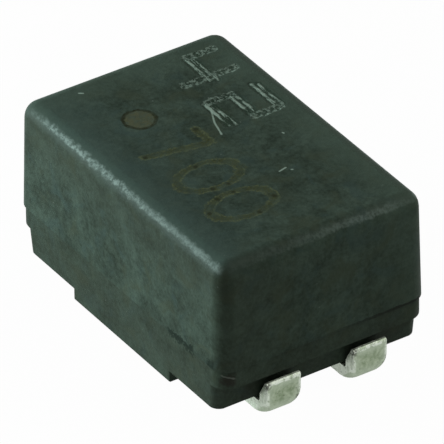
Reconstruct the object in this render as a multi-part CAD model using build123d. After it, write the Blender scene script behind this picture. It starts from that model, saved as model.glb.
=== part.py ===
from build123d import *

import math
import os

# Surface-mount common mode choke in a moulded case, in millimetres.
# +X points to one short end, +Z up. The origin is the centre of the seat plane,
# the plane of the four solder feet.

# Case, outside
case_length = 9.2
overall_height = 4.8
cap_wall = 0.45
cap_roof = 0.5
cap_draft = 1.1
cap_corner_radius = 0.46
cap_edge_radius = 0.42
bore_corner_radius = 0.35
bore_edge_radius = 0.2

# Base, outside
flange_thickness = 0.48
flange_inset = 0.03
base_depth = 0.8
base_draft = 3.5
end_inset = 0.3
end_bevel = 0.06
underside_gap = 0.02
foot_length = 4.3
foot_side_inset = 0.04
foot_seat_gap = 0.12
foot_edge = 0.04

# Base, inside
floor_thickness = 0.63
end_block_height = 0.4
spigot_height = 0.35
spigot_wall = 0.22
spigot_clearance = 0.05
tray_corner_radius = 0.12
bond_bevel = 0.15

# Terminals, one bent strip each
strip_thickness = 0.35
strip_width = 0.98
bend_radius = 0.1
terminal_pitch = 2.54
tip_gap = 0.03
tip_drop = 0.22
tip_slope_width = 0.25
tip_slope_height = 0.45
tip_corner_radius = 0.25
tab_offset = 0.45
tab_height = 0.95
fork_depth = 0.42
fork_clearance = 0.03

# Ring core and windings
core_outer_radius = 2.0
core_bore_radius = 1.0
core_bevel = 0.15
side_clearance = 0.08
head_clearance = 0.25
wire_diameter = 0.22
wire_gap = 0.03
wire_bend = 0.2
wire_sides = 12
bend_steps = 3
turns = 7
turn_spacing = 0.3
tail_overrun = 0.12
contact_gap = 0.02
core_bond_thickness = 0.13
solder_radius = 0.28
solder_crown_radius = 0.14
solder_height = 0.2

# Heights worked out from the sizes above
bend_outside = bend_radius + strip_thickness
bend_centre = bend_radius + strip_thickness / 2
section_bottom = bend_outside + underside_gap
flange_bottom = section_bottom + base_depth
parting = flange_bottom + flange_thickness
spigot_top = parting + spigot_height
roof_inside = overall_height - cap_roof
floor_top = section_bottom + floor_thickness
block_top = floor_top + end_block_height
tab_top = block_top + tab_height
foot_bottom = foot_seat_gap

# The width of the case, built out from the wound ring through the walls round it
wound_radius = core_outer_radius + wire_gap + wire_diameter
case_width = 2 * (wound_radius + side_clearance + spigot_wall + spigot_clearance + cap_wall)

# Half sizes of the nested outlines at the parting plane
cap_half = (case_length / 2, case_width / 2)
bore_half = tuple(half - cap_wall for half in cap_half)
spigot_half = tuple(half - spigot_clearance for half in bore_half)
tray_half = tuple(half - spigot_wall for half in spigot_half)
flange_half = tuple(half - flange_inset for half in cap_half)
body_half = (cap_half[0] - end_inset, flange_half[1])
spigot_corner_radius = bore_corner_radius - spigot_clearance

# Terminal places along X
tip_outside = body_half[0] + tip_gap + strip_thickness
tip_centre = tip_outside - strip_thickness / 2
tip_top = flange_bottom - tip_drop
tab_centre = tray_half[0] - tab_offset - strip_thickness / 2

# Wound core
wire_radius = wire_diameter / 2
wire_offset = wire_gap + wire_radius
winding_bottom = floor_top + core_bond_thickness + contact_gap
core_bottom = winding_bottom + wire_diameter + wire_gap
core_top = roof_inside - head_clearance - wire_diameter - wire_gap
turn_step = math.degrees(turn_spacing / (core_bore_radius - wire_offset))
tail_height = tab_top - fork_depth + fork_clearance + wire_radius


STANDING = (Align.CENTER, Align.CENTER, Align.MIN)


def slab(half, corner, low, high, draft=0.0):
    """A rounded block between two heights that narrows away from the first one."""
    outline = Pos(0, 0, low) * RectangleRounded(2 * half[0], 2 * half[1], corner)
    direction = (0, 0, 1) if high > low else (0, 0, -1)
    return extrude(outline, amount=abs(high - low), dir=direction, taper=draft)


def make_cap():
    """The moulded cap: a hollow, drafted box, open below, with a bevel for the glue."""
    shell = slab(cap_half, cap_corner_radius, parting, overall_height, cap_draft)
    shell = fillet(shell.faces().sort_by(Axis.Z)[-1].edges(), cap_edge_radius)
    bore = slab(bore_half, bore_corner_radius, parting, roof_inside, cap_draft)
    bore = fillet(bore.faces().sort_by(Axis.Z)[-1].edges(), bore_edge_radius)
    return shell - bore - bond_groove()


def bond_groove():
    """The bevel round the cap's mouth, as the solid that is cut away for it."""
    length, width = 2 * bore_half[0], 2 * bore_half[1]
    wide = RectangleRounded(length + 2 * bond_bevel, width + 2 * bond_bevel, bore_corner_radius + bond_bevel)
    narrow = RectangleRounded(length, width, bore_corner_radius)
    return loft([(Pos(0, 0, parting) * wide).face(), (Pos(0, 0, parting + bond_bevel) * narrow).face()])


def make_cap_bond():
    """The bead of adhesive that fills the bevel between cap, flange and spigot."""
    spigot = slab(spigot_half, spigot_corner_radius, parting, spigot_top)
    return bond_groove() - spigot


def terminal_places():
    """End (+1 or -1 along X) and centre Y of each terminal, counted round the case."""
    near, far = -terminal_pitch / 2, terminal_pitch / 2
    return [(-1, near), (1, near), (1, far), (-1, far)]


def terminal_strip():
    """One strip at the +X end: tab, lead through the base, foot and turned-up tip."""
    seat = strip_thickness / 2
    centre_line = FilletPolyline(
        (tab_centre, 0, tab_top),
        (tab_centre, 0, seat),
        (tip_centre, 0, seat),
        (tip_centre, 0, tip_top),
        radius=bend_centre,
    )
    start = Plane(origin=centre_line @ 0, x_dir=(1, 0, 0), z_dir=centre_line % 0)
    strip = sweep(start * Rectangle(strip_thickness, strip_width), path=centre_line)
    return (strip & bend_rounding()) - tip_slope()


def bend_rounding():
    """A prism leaning 45 degrees that rounds the strip's two corners on the outer bend."""
    long = case_length
    within = bend_outside * (1 - math.sqrt(0.5))
    leaning = Plane(origin=(tip_outside - within, 0, within), x_dir=(0, 1, 0), z_dir=(1, 0, 1))
    outline = leaning * Pos(0, long / 2) * RectangleRounded(strip_width, long, tip_corner_radius)
    return extrude(outline, amount=long, both=True)


def tip_slope():
    """The wedge that the shear took off the inner side of the tip, which leaves a narrow top."""
    inside = tip_outside - strip_thickness
    wedge = Polyline(
        (inside, -strip_width / 2, tip_top - tip_slope_height),
        (inside, -strip_width / 2, tip_top),
        (inside + tip_slope_width, -strip_width / 2, tip_top),
        close=True,
    )
    return extrude(make_face(wedge), amount=strip_width, dir=(0, 1, 0))


def make_terminal(end, y):
    """A strip set at its place, with the fork for the wire cut in its tab."""
    fork = Pos(tab_centre, 0, tab_top) * Box(
        2 * strip_thickness, wire_diameter + 2 * fork_clearance, 2 * fork_depth
    )
    strip = terminal_strip() - fork
    if end < 0:
        strip = strip.mirror(Plane.YZ)
    return Pos(0, y, 0) * strip


def end_wedge(end, start):
    """The wedge that bevels the body's lower edge at one end, from a place along X."""
    reach, width = 4 * end_bevel, 2 * body_half[1]
    wedge = Polyline(
        (end * start, -body_half[1], section_bottom),
        (end * (start + reach), -body_half[1], section_bottom),
        (end * (start + reach), -body_half[1], section_bottom + reach),
        close=True,
    )
    return extrude(make_face(wedge), amount=width, dir=(0, 1, 0))


def make_base():
    """The moulded base: drafted body, flange, spigot, middle foot and core well."""
    body = slab(body_half, cap_corner_radius, flange_bottom, section_bottom, base_draft)
    drafted_in = base_depth * math.tan(math.radians(base_draft))
    for end in (-1, 1):
        body -= end_wedge(end, body_half[0] - drafted_in - end_bevel)
    foot_half = (foot_length / 2, body_half[1] - drafted_in - foot_side_inset)
    foot = slab(foot_half, foot_edge, section_bottom + foot_edge, foot_bottom)
    foot = chamfer(foot.faces().sort_by(Axis.Z)[0].edges(), foot_edge)
    flange = slab(flange_half, cap_corner_radius, flange_bottom, parting)
    spigot = slab(spigot_half, spigot_corner_radius, parting, spigot_top)
    tray = slab(tray_half, tray_corner_radius, block_top, spigot_top)
    well = Pos(0, 0, floor_top) * Cylinder(tray_half[1], spigot_top - floor_top, align=STANDING)
    base = body + foot + flange + spigot - tray - well
    for end, y in terminal_places():
        base -= make_terminal(end, y)
    return base


def make_ring_core():
    """The ferrite ring, with bevelled edges where the wire passes over them."""
    height = core_top - core_bottom
    ring = Cylinder(core_outer_radius, height, align=STANDING)
    ring -= Cylinder(core_bore_radius, height, align=STANDING)
    ring = chamfer(ring.edges().filter_by(GeomType.CIRCLE), core_bevel)
    return Pos(0, 0, core_bottom) * ring


def around(radius, angle, z):
    """A point at a radius and an angle in degrees about the core's axis."""
    return (radius * math.cos(math.radians(angle)), radius * math.sin(math.radians(angle)), z)


def bend(before, corner, after):
    """Points that take the wire round one corner, at the wire's bend radius, in mitred steps."""
    arrive, leave = (corner - before).normalized(), (after - corner).normalized()
    turn = math.radians(arrive.get_angle(leave))
    inward = (leave - arrive * arrive.dot(leave)).normalized()
    centre = corner - arrive * wire_bend * math.tan(turn / 2) + inward * wire_bend
    reach = wire_bend / math.cos(turn / bend_steps / 2)
    angles = [(step + 0.5) * turn / bend_steps for step in range(bend_steps)]
    return [centre - inward * reach * math.cos(angle) + arrive * reach * math.sin(angle) for angle in angles]


def winding_path(side):
    """Centre line of one winding, from its -X tail to its +X tail, on side -1 or +1 of Y."""
    outer, inner = core_outer_radius + wire_offset, core_bore_radius - wire_offset
    low, high = core_bottom - wire_offset, core_top + wire_offset
    first = -90 - turns * turn_step / 2
    tail_end = tab_centre + strip_thickness / 2 + tail_overrun
    points = [(-tail_end, -terminal_pitch / 2, tail_height)]
    points.append((-tab_centre + strip_thickness, -terminal_pitch / 2, tail_height))
    points.append(around(outer, first, tail_height))
    for turn in range(turns):
        out = first + turn * turn_step
        back = out + turn_step / 2
        points.append(around(outer, out, high))
        points.append(around(inner, back, high))
        points.append(around(inner, back, low))
        points.append(around(outer, out + turn_step, low))
    points.append(around(outer, first + turns * turn_step, tail_height))
    points.append((tab_centre - strip_thickness, -terminal_pitch / 2, tail_height))
    points.append((tail_end, -terminal_pitch / 2, tail_height))
    corners = [Vector(x, -side * y, z) for x, y, z in points]
    route = [corners[0]]
    for before, corner, after in zip(corners, corners[1:], corners[2:]):
        route += bend(before, corner, after)
    return Polyline(*route, corners[-1])


def make_winding(side):
    """One enamelled wire, swept round its centre line."""
    path = winding_path(side)
    section = Plane(origin=path @ 0, z_dir=path % 0) * RegularPolygon(wire_radius, wire_sides)
    return sweep(section, path=path, transition=Transition.RIGHT)


def make_solder_joint(end, y, wire):
    """The drop of solder that holds a wire's end to the outer side of its tab."""
    face = Plane(origin=(end * (tab_centre + strip_thickness / 2), y, tail_height), z_dir=(end, 0, 0))
    return face * Cone(solder_radius, solder_crown_radius, solder_height, align=STANDING) - wire


def make_core_bond():
    """The bed of adhesive under the wound core."""
    return Pos(0, 0, floor_top) * Cylinder(core_outer_radius, core_bond_thickness, align=STANDING)


def main():
    """Makes every piece and writes one file for each."""
    windings = {-1: make_winding(-1), 1: make_winding(1)}
    pieces = {
        "cap": make_cap(),
        "base": make_base(),
        "ring_core": make_ring_core(),
        "winding_a": windings[-1],
        "winding_b": windings[1],
        "core_bond": make_core_bond(),
        "cap_bond": make_cap_bond(),
    }
    for number, (end, y) in enumerate(terminal_places(), start=1):
        pieces[f"terminal_{number}"] = make_terminal(end, y)
        side = -1 if y < 0 else 1
        pieces[f"solder_joint_{number}"] = make_solder_joint(end, y, windings[side])
    os.makedirs("parts", exist_ok=True)
    for name, piece in pieces.items():
        export_step(piece, f"parts/{name}.step")


main()
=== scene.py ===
"""Looks of a surface-mount common mode choke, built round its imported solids.

A moulded cap stands on a moulded base, with four bent, tinned strips at the ends and a wound ring inside.
Sizes in the classes are in millimetres in the part's own frame: +X points to the short end that the photograph
shows, +Z up from the plane of the solder feet. A mesh becomes metres when its object is made.
"""

from __future__ import annotations

import logging
import math
from dataclasses import dataclass, field
from enum import Enum
from functools import reduce
from typing import Iterable, Sequence, Union

import bmesh
import bpy
from mathutils import Matrix, Vector

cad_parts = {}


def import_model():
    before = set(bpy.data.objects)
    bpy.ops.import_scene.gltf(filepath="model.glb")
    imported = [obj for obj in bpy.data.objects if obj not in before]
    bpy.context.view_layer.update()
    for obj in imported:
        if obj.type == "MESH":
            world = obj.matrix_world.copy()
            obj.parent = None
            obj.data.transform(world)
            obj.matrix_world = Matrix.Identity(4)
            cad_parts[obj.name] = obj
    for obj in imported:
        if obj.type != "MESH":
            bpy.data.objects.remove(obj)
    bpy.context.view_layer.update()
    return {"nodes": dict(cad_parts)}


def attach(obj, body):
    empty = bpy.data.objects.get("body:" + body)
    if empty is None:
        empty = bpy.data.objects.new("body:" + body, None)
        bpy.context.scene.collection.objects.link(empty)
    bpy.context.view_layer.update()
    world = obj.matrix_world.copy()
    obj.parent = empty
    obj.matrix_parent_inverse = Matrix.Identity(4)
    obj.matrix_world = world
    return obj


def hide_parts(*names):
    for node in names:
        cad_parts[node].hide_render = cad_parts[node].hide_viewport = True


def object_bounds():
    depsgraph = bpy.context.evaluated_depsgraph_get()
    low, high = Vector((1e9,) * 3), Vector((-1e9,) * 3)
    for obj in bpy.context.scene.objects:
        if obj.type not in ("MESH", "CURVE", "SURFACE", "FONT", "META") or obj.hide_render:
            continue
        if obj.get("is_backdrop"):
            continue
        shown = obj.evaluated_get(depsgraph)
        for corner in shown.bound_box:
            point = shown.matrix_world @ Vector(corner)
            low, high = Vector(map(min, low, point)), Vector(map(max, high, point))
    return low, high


LOG = logging.getLogger("choke")
MILLIMETRE = 0.001
HALF_PITCH = 1.27  # from the middle of an end to the middle of a terminal
CORNER_STEPS = 8  # round a moulding's corner or edge
SHARP_ANGLE = 32.0  # degrees past which two faces are shaded apart
LEVEL = 1e-4  # heights closer than this are the same
TOUCHING = 1e-5  # vertices closer than this are one

Colour = tuple[float, float, float]
Point2 = tuple[float, float]
Material, Object, Socket = bpy.types.Material, bpy.types.Object, bpy.types.NodeSocket
Vert, Edge, Face = bmesh.types.BMVert, bmesh.types.BMEdge, bmesh.types.BMFace


class Slot(Enum):
    """The record's material slots that the pieces take their finish from."""

    CAP_PLASTIC = "cap_plastic"
    BASE_PLASTIC = "base_plastic"
    FERRITE = "ferrite"
    ENAMELLED_WIRE = "enamelled_wire"
    ADHESIVE = "adhesive"
    TINNED_STRIP = "tinned_strip"
    SOLDER = "solder"


class End(Enum):
    """The two short ends of the case, by their side of X."""

    NEAR = 1
    FAR = -1


# Shader values


class Channel:
    """One value that varies over a surface, with maths written as Python expressions."""

    def __init__(self, nodes: Nodes, socket: Socket) -> None:
        """Wraps an output socket of a node tree."""
        self.nodes, self.socket = nodes, socket

    def __add__(self, other: Value) -> Channel:
        """This value plus another."""
        return self.nodes.maths("ADD", self, other)

    __radd__ = __add__

    def __sub__(self, other: Value) -> Channel:
        """This value minus another."""
        return self.nodes.maths("SUBTRACT", self, other)

    def __rsub__(self, other: Value) -> Channel:
        """Another value minus this one."""
        return self.nodes.maths("SUBTRACT", other, self)

    def __mul__(self, other: Value) -> Channel:
        """This value times another."""
        return self.nodes.maths("MULTIPLY", self, other)

    __rmul__ = __mul__

    def __abs__(self) -> Channel:
        """The size of this value without its sign."""
        return self.nodes.maths("ABSOLUTE", self)

    def lowest(self, other: Value) -> Channel:
        """The lower of this value and another."""
        return self.nodes.maths("MINIMUM", self, other)

    def highest(self, other: Value) -> Channel:
        """The higher of this value and another."""
        return self.nodes.maths("MAXIMUM", self, other)

    def rise(self, low: float, high: float) -> Channel:
        """A smooth step of this value.

        Args:
            low: Where the step starts, at 0.
            high: Where it ends, at 1. Below low, the step falls instead.

        Returns:
            The step, from 0 to 1.
        """
        inputs = {"Value": self, "From Min": low, "From Max": high}
        step = self.nodes.node("ShaderNodeMapRange", inputs, interpolation_type="SMOOTHSTEP")
        return Channel(self.nodes, step.outputs["Result"])

    def band(self, start: Point2, stop: Point2) -> Channel:
        """A band of this value, which rises to 1 over the start and falls to 0 over the stop."""
        return self.rise(*start) * self.rise(*stop)


Value = Union[Channel, float]


class Nodes:
    """The node tree of a material or a world, emptied, and the one method that adds a node to it."""

    def __init__(self, owner: Material | bpy.types.World) -> None:
        """Empties the tree.

        Args:
            owner: The material or world that the tree belongs to.
        """
        owner.use_nodes = True
        self.owner = owner
        self.tree = owner.node_tree
        self.tree.nodes.clear()

    def node(self, kind: str, inputs: dict | None = None, **settings: object) -> bpy.types.Node:
        """Adds one node.

        Args:
            kind: The node's type.
            inputs: Values, colours, channels or sockets for its inputs, by name or number.
            settings: Its properties, set before its inputs are filled.

        Returns:
            The new node.
        """
        made = self.tree.nodes.new(kind)
        for name, setting in settings.items():
            setattr(made, name, setting)
        for key, value in (inputs or {}).items():
            entry = made.inputs[key]
            source = value.socket if isinstance(value, Channel) else value
            if isinstance(source, Socket):
                self.tree.links.new(source, entry)
            else:
                entry.default_value = (*source, 1.0) if entry.type == "RGBA" else source
        return made

    def maths(self, operation: str, *values: Value) -> Channel:
        """The result of a Math node with one or two inputs."""
        return Channel(self, self.node("ShaderNodeMath", dict(enumerate(values)), operation=operation).outputs[0])

    def ray(self, kind: str) -> Channel:
        """1 for one kind of ray, such as Is Camera Ray, and 0 for the others."""
        return Channel(self, self.node("ShaderNodeLightPath").outputs[kind])


class Bench(Nodes):
    """The nodes of one material, with its running colour and the few kinds that the finishes need."""

    def __init__(self, name: str) -> None:
        """Starts a material.

        Args:
            name: The material's name.
        """
        super().__init__(bpy.data.materials.new(name))
        place = self.node("ShaderNodeTexCoord").outputs["Object"]
        self.place = self.vector("SCALE", place, Scale=1 / MILLIMETRE)["Vector"]
        split = self.node("ShaderNodeSeparateXYZ", {0: self.place}).outputs
        self.x, self.y, self.z = (Channel(self, split[axis]) for axis in "XYZ")
        self.colour: Colour | Socket = (0.0, 0.0, 0.0)

    def vector(self, operation: str, *vectors: Colour | Socket, **named: Value) -> bpy.types.bpy_prop_collection:
        """The outputs of a Vector Math node."""
        inputs = {**dict(enumerate(vectors)), **named}
        return self.node("ShaderNodeVectorMath", inputs, operation=operation).outputs

    def measure(self, operation: str, first: Colour | Socket, second: Colour | Socket) -> Channel:
        """A number from two vectors, as for DISTANCE or DOT_PRODUCT."""
        return Channel(self, self.vector(operation, first, second)["Value"])

    def moved(self, offset: Colour, stretch: Colour = (1.0, 1.0, 1.0)) -> Socket:
        """The place, stretched and then shifted."""
        return self.node("ShaderNodeMapping", {"Vector": self.place, "Location": offset, "Scale": stretch}).outputs[0]

    def noise(
        self,
        scale: float,
        detail: float,
        roughness: float,
        distortion: float = 0.0,
        stretch: Colour = (1.0, 1.0, 1.0),
        offset: Colour = (0.0, 0.0, 0.0),
    ) -> Channel:
        """Cloudy noise over the surface, about 0.5.

        Args:
            scale: Features to a millimetre.
            detail: Octaves of finer noise.
            roughness: How strong the finer octaves are.
            distortion: How far the noise is warped.
            stretch: Factors on the three axes. A low one draws the noise out along its axis.
            offset: A shift, so that two noises differ.

        Returns:
            The noise.
        """
        inputs = {"Scale": scale, "Detail": detail, "Roughness": roughness, "Distortion": distortion}
        made = self.node("ShaderNodeTexNoise", {"Vector": self.moved(offset, stretch), **inputs})
        return Channel(self, made.outputs[0])

    def specks(self, spacing: float, size: float, share: float, offset: Colour = (0.0, 0.0, 0.0)) -> Channel:
        """Small scattered specks.

        Args:
            spacing: Millimetres between the cells that may hold a speck.
            size: A speck's radius in millimetres.
            share: The share of the cells that holds one.
            offset: A shift, so that two scatters differ.

        Returns:
            1 on a speck and 0 elsewhere.
        """
        inputs = {"Vector": self.moved(offset), "Scale": 1 / spacing}
        cells = self.node("ShaderNodeTexVoronoi", inputs, feature="F1").outputs
        near = Channel(self, cells["Distance"]).rise(size / spacing, 0.35 * size / spacing)
        chosen = self.node("ShaderNodeSeparateColor", {0: cells["Color"]}).outputs["Red"]
        return near * Channel(self, chosen).rise(share + 0.02, share)

    def paint(self, factor: Value, above: Colour) -> None:
        """Lays a colour over the running colour, as thickly as a factor from 0 to 1 says."""
        inputs = {0: factor, 6: self.colour, 7: above}
        self.colour = self.node("ShaderNodeMix", inputs, data_type="RGBA", clamp_factor=True).outputs[2]

    def relief(self, height: Channel, depth: float) -> Socket:
        """The normal of a surface that is bumped by a height from 0 to 1, over a depth in millimetres."""
        inputs = {"Height": height, "Distance": depth * MILLIMETRE, "Strength": 1.0}
        return self.node("ShaderNodeBump", inputs).outputs[0]

    def finish(self, **inputs: object) -> Material:
        """Ends the tree with a Principled shader in the running colour.

        Args:
            inputs: The shader's other inputs, with underscores for spaces.

        Returns:
            The finished material.
        """
        named = {name.replace("_", " "): value for name, value in inputs.items()}
        shader = self.node("ShaderNodeBsdfPrincipled", {"Base Color": self.colour, **named})
        self.node("ShaderNodeOutputMaterial", {"Surface": shader.outputs[0]})
        return self.owner


# Marks


@dataclass(frozen=True)
class CapSizes:
    """The cap's outside: half its length and width at the mouth, its heights and the radius of its edges."""

    half: Point2 = (4.6, 3.05)
    mouth: float = 1.75
    top: float = 4.8
    edge_radius: float = 0.44


class CapBench(Bench):
    """The cap's bench, with the channels that its marks share."""

    def __init__(self, sizes: CapSizes) -> None:
        """Starts the cap's material.

        Args:
            sizes: The cap's outside.
        """
        super().__init__(Slot.CAP_PLASTIC.value)
        self.sizes = sizes
        self.flat = self.node("ShaderNodeCombineXYZ", {"X": self.x, "Y": self.y}).outputs[0]
        self.wobble = self.noise(5.0, 3.0, 0.6, offset=(6.0, 2.0, 9.0)) - 0.5
        self.grit = self.noise(15.0, 3.0, 0.7, offset=(3.0, 3.0, 8.0))
        self.on_top = self.z.rise(sizes.top - 0.03, sizes.top - 0.01)

    def nearest(self, shapes: Iterable[Stroke | Oval]) -> Channel:
        """The distance in millimetres to the nearest of several shapes on the top."""
        return reduce(Channel.lowest, [shape.distance(self) for shape in shapes])


@dataclass(frozen=True)
class Stroke:
    """One straight stroke on the top, from start to end, in millimetres of X and Y."""

    start: Point2
    end: Point2

    def distance(self, bench: CapBench) -> Channel:
        """How far the surface lies from the stroke.

        Args:
            bench: The cap's bench.

        Returns:
            The distance in millimetres.
        """
        start, end = Vector((*self.start, 0.0)), Vector((*self.end, 0.0))
        run = end - start
        from_start = bench.vector("SUBTRACT", bench.flat, tuple(start))["Vector"]
        along = bench.measure("DOT_PRODUCT", from_start, tuple(run / run.length_squared)).highest(0.0).lowest(1.0)
        return bench.measure("DISTANCE", from_start, bench.vector("SCALE", tuple(run), Scale=along)["Vector"])


@dataclass(frozen=True)
class Oval:
    """An upright ellipse on the top, by its half sizes along X and Y."""

    centre: Point2
    half: Point2

    def distance(self, bench: CapBench) -> Channel:
        """Roughly how far the surface lies from the ellipse.

        Args:
            bench: The cap's bench.

        Returns:
            The distance in millimetres.
        """
        offset = bench.vector("SUBTRACT", bench.flat, (*self.centre, 0.0))["Vector"]
        squeezed = bench.vector("MULTIPLY", offset, (1 / self.half[0], 1 / self.half[1], 0.0))["Vector"]
        mean_half = 0.6 * self.half[0] + 0.4 * self.half[1]
        return abs(bench.measure("DISTANCE", squeezed, (0.0, 0.0, 0.0)) - 1.0) * mean_half


@dataclass(frozen=True)
class TopMarks:
    """The marks on the cap's top: a round burned spot, a burned number, an engraved number and scratches."""

    spot_centre: Point2 = (-2.08, -1.0)
    spot_radius: float = 0.44
    burned_rows: Point2 = (-1.82, -0.1)
    burned_width: float = 0.21
    engraved_rows: tuple[float, float, float] = (0.76, 1.48, 2.22)
    engraved_width: float = 0.24
    score_offset: float = 0.07
    scratch_width: float = 0.035

    def burned(self) -> list[Stroke | Oval]:
        """The shapes of the burned number, 700.

        Returns:
            The strokes of the first digit and the ovals of the others.
        """
        low, high = self.burned_rows
        seven = [Stroke((-0.95, high), (-0.25, high)), Stroke((-0.25, high), (-0.6, low))]
        zeros = [Oval((x, (low + high) / 2), (0.55, (high - low) / 2)) for x in (0.95, 2.4)]
        return [*seven, *zeros]

    def burned_ends(self) -> list[Stroke]:
        """Places on the burned number where the beam stood still.

        Returns:
            A very short stroke at each.
        """
        spots = [(-0.6, -1.82), (-0.95, -0.1), (0.42, -1.0), (1.5, -0.75), (1.46, -1.2)]
        spots += [(1.9, -1.35), (2.55, -0.12), (2.94, -0.8), (2.3, -1.84), (1.86, -0.85)]
        return [Stroke((x, y), (x + 0.02, y)) for x, y in spots]

    def engraved_across(self) -> list[Stroke]:
        """The strokes of the engraved number, 42, that run along Y.

        Returns:
            The strokes.
        """
        low, middle, high = self.engraved_rows
        bars = ((-3.72, middle, high), (-2.7, low, high), (-0.62, middle, high), (-1.74, low, middle))
        return [Stroke((x, first), (x, last)) for x, first, last in bars]

    def engraved_along(self) -> list[Stroke]:
        """The strokes of the engraved number that run along X.

        Returns:
            Two scores side by side for each.
        """
        low, middle, high = self.engraved_rows
        rows = [(-3.6, -2.5, middle), (-1.78, -0.7, high), (-1.6, -0.72, middle), (-1.68, -0.58, low)]
        return [
            Stroke((first + 0.6 * aside, y + aside), (last + 0.4 * aside, y + 1.2 * aside))
            for first, last, y in rows
            for aside in (-self.score_offset, self.score_offset)
        ]

    def scratches(self) -> list[Stroke]:
        """The fine pale scratches.

        Returns:
            A stroke for each straight length.
        """
        curved = [(-1.5, 0.72, -0.93, 0.45), (-0.93, 0.45, -0.4, 0.31)]
        short = [(1.75, 0.58, 1.7, 0.8), (1.85, 0.87, 1.86, 0.89), (0.38, 1.59, 0.42, 1.6), (-3.9, -1.6, -3.84, -1.52)]
        return [Stroke(ends[:2], ends[2:]) for ends in curved + short]


# Finishes


@dataclass(frozen=True)
class MouldedPlastic:
    """The dark, faintly green moulding compound, with its grain, clouds, specks and worn edges, and the colours of
    painted highlight, painted sheen and painted shade.
    """

    dark: Colour = (0.013, 0.023, 0.015)
    light: Colour = (0.062, 0.093, 0.073)
    warm: Colour = (0.043, 0.057, 0.036)
    cool: Colour = (0.036, 0.063, 0.058)
    painted_sheen: Colour = (0.064, 0.102, 0.090)
    speck: Colour = (0.17, 0.21, 0.19)
    pit: Colour = (0.008, 0.014, 0.010)
    worn_and_highlight: Colour = (0.48, 0.61, 0.58)
    dark_seam_and_shade: Colour = (0.008, 0.011, 0.007)
    dark_patch: Colour = (0.006, 0.016, 0.010)
    shaded: Colour = (0.026, 0.032, 0.020)
    gloss: float = 0.09
    grain_depth: float = 0.015

    def ground(self, bench: Bench) -> None:
        """Paints the compound's own colour: clouds, warm and cool patches, pale specks and dark pits.

        Args:
            bench: The bench to paint on.
        """
        clouds = bench.noise(0.8, 4.0, 0.6, 0.6).rise(0.36, 0.66)
        streaks = bench.noise(3.2, 3.0, 0.6, 0.4, stretch=(1.0, 1.0, 0.5), offset=(4.0, 1.0, 2.0)).rise(0.35, 0.65)
        middling = bench.noise(2.6, 3.0, 0.6, 0.3, offset=(5.0, 2.0, 6.0)).rise(0.34, 0.66)
        fine = bench.noise(9.0, 3.0, 0.65, offset=(1.0, 7.0, 3.0)).rise(0.3, 0.7)
        bench.colour = self.dark
        bench.paint(0.36 * clouds + 0.03 * streaks + 0.26 * middling + 0.35 * fine, self.light)
        patches = bench.noise(1.3, 3.0, 0.55, 0.8, offset=(7.0, 7.0, 2.0))
        bench.paint(0.55 * patches.rise(0.5, 0.7), self.warm)
        bench.paint(0.45 * patches.rise(0.46, 0.3), self.cool)
        pale = bench.specks(0.33, 0.03, 0.22) + bench.specks(0.75, 0.045, 0.16, offset=(3.0, 3.0, 3.0))
        bench.paint(0.55 * pale, self.speck)
        bench.paint(0.6 * bench.specks(0.3, 0.03, 0.2, offset=(1.0, 2.0, 5.0)), self.pit)

    def material(self, bench: Bench, roughness: Channel, marks: Value = 0.0) -> Material:
        """Ends a material with the compound's gloss and moulded grain.

        Args:
            bench: The painted bench.
            roughness: How rough it is.
            marks: The marks' height, in the grain's depth.

        Returns:
            The material.
        """
        coarse = bench.noise(4.5, 2.0, 0.5, offset=(2.0, 5.0, 1.0))
        fine = bench.noise(19.0, 2.0, 0.7, offset=(9.0, 0.0, 4.0))
        normal = bench.relief(0.5 * coarse + 0.5 * fine + marks, self.grain_depth)
        return bench.finish(Roughness=roughness, Specular_IOR_Level=self.gloss, Normal=normal)


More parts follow.
